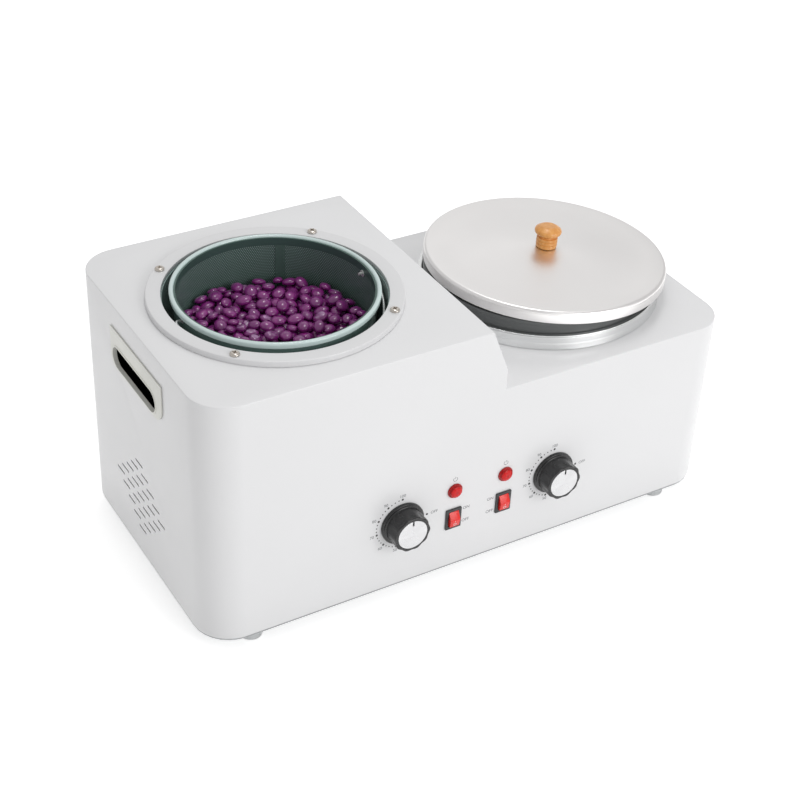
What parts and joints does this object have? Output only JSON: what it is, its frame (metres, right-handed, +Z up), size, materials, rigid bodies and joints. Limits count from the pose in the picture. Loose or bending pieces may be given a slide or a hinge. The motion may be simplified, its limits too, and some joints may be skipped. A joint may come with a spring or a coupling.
{
  "type": "wax warmer",
  "caption": "Twin wax warmer: stepped sheet-metal box with a tall station for a lift-out filter basket and a low station for a lidded pot, each with dial, rocker and lamp",
  "frame": {"origin": "on the table under the middle of the whole part", "axes": "+X is right as seen from the front, the front with its controls faces -Y, +Z is up"},
  "size_m": [0.5146, 0.28, 0.258],
  "materials": {
    "casing_paint": "pearl white paint, satin",
    "plain_sheet": "bare grey sheet",
    "foot_rubber": "clear grey, translucent",
    "screw_nickel": "warm nickel plate",
    "tank_coating": "dark teal non-stick coating",
    "rim_paint": "pale teal gloss",
    "basket_coating": "dark green non-stick coating",
    "bright_wire": "bright drawn wire",
    "spun_aluminium": "spun, bright",
    "pot_coating": "dark grey non-stick coating",
    "turned_wood": "honey brown, lacquered",
    "black_plastic": "black, slightly glossy",
    "red_plastic": "signal red",
    "red_lens": "red, translucent",
    "beige_plastic": "pale beige, fine grain",
    "glass_wool": "pressed glass wool",
    "copper_tube": "copper, drawn",
    "contact_brass": "plain brass",
    "lead_skin": "silicone, dark brown"
  },
  "bodies": {
    "housing": {"outer_casing": "casing_paint", "base_plate": "plain_sheet", "foot_front_left": "foot_rubber", "foot_screw_front_left": "screw_nickel", "foot_front_right": "foot_rubber", "foot_screw_front_right": "screw_nickel", "foot_rear_left": "foot_rubber", "foot_screw_rear_left": "screw_nickel", "foot_rear_right": "foot_rubber", "foot_screw_rear_right": "screw_nickel", "grip_frame_left": "beige_plastic", "left_heater_plate": "plain_sheet", "left_heater_bolt": "screw_nickel", "left_insulation_sleeve": "glass_wool", "left_thermostat": "beige_plastic", "left_sensing_bulb": "copper_tube", "left_switch_housing": "black_plastic", "left_lamp_lens": "red_lens", "left_lamp_body": "black_plastic", "left_heater_lead": "lead_skin", "grip_frame_right": "beige_plastic", "right_heater_plate": "plain_sheet", "right_heater_bolt": "screw_nickel", "right_insulation_sleeve": "glass_wool", "right_thermostat": "beige_plastic", "right_sensing_bulb": "copper_tube", "right_switch_housing": "black_plastic", "right_lamp_lens": "red_lens", "right_lamp_body": "black_plastic", "right_heater_lead": "lead_skin", "left_flange_ring": "casing_paint", "ring_screw_1": "screw_nickel", "ring_screw_2": "screw_nickel", "ring_screw_3": "screw_nickel", "ring_screw_4": "screw_nickel", "left_tank": "tank_coating", "right_collar": "spun_aluminium", "right_well": "spun_aluminium", "mains_inlet": "black_plastic", "inlet_pin_live": "contact_brass", "inlet_pin_neutral": "contact_brass", "inlet_pin_earth": "contact_brass", "terminal_block": "beige_plastic"},
    "filter_basket": {"basket_cup": "basket_coating", "basket_rim": "rim_paint", "bail_eyelet_left": "bright_wire", "bail_eyelet_right": "bright_wire"},
    "bail": {"basket_bail": "bright_wire"},
    "pot": {"inner_pot": "pot_coating"},
    "pot_lid": {"lid": "spun_aluminium", "lid_knob": "turned_wood", "lid_screw": "screw_nickel"},
    "left_dial": {"left_dial_knob": "black_plastic", "left_dial_cap": "spun_aluminium", "left_dial_shaft": "screw_nickel"},
    "right_dial": {"right_dial_knob": "black_plastic", "right_dial_cap": "spun_aluminium", "right_dial_shaft": "screw_nickel"},
    "left_switch_key": {"left_rocker": "red_plastic"},
    "right_switch_key": {"right_rocker": "red_plastic"}
  },
  "joints": [
    {"name": "basket_lift", "type": "slide", "parent": "housing", "child": "filter_basket", "axis": [0, 0, 1], "range_m": [0, 0.18]},
    {"name": "bail_swing", "type": "hinge", "parent": "filter_basket", "child": "bail", "pos_m": [-0.1307, 0.008, 0.2484], "axis": [-1, 0, 0], "range_deg": [0, 214]},
    {"name": "pot_lift", "type": "slide", "parent": "housing", "child": "pot", "axis": [0, 0, 1], "range_m": [0, 0.125]},
    {"name": "lid_lift", "type": "slide", "parent": "pot", "child": "pot_lid", "axis": [0, 0, 1], "range_m": [0, 0.08]},
    {"name": "left_dial_turn", "type": "hinge", "parent": "housing", "child": "left_dial", "pos_m": [-0.0781, -0.1215, 0.0825], "axis": [0, -1, 0], "range_deg": [0, 269]},
    {"name": "right_dial_turn", "type": "hinge", "parent": "housing", "child": "right_dial", "pos_m": [0.0753, -0.1215, 0.0825], "axis": [0, -1, 0], "range_deg": [0, 269]},
    {"name": "left_switch_tilt", "type": "hinge", "parent": "housing", "child": "left_switch_key", "pos_m": [-0.0269, -0.122, 0.0685], "axis": [1, 0, 0], "range_deg": [0, 18]},
    {"name": "right_switch_tilt", "type": "hinge", "parent": "housing", "child": "right_switch_key", "pos_m": [0.0241, -0.122, 0.0685], "axis": [1, 0, 0], "range_deg": [0, 18]}
  ]
}
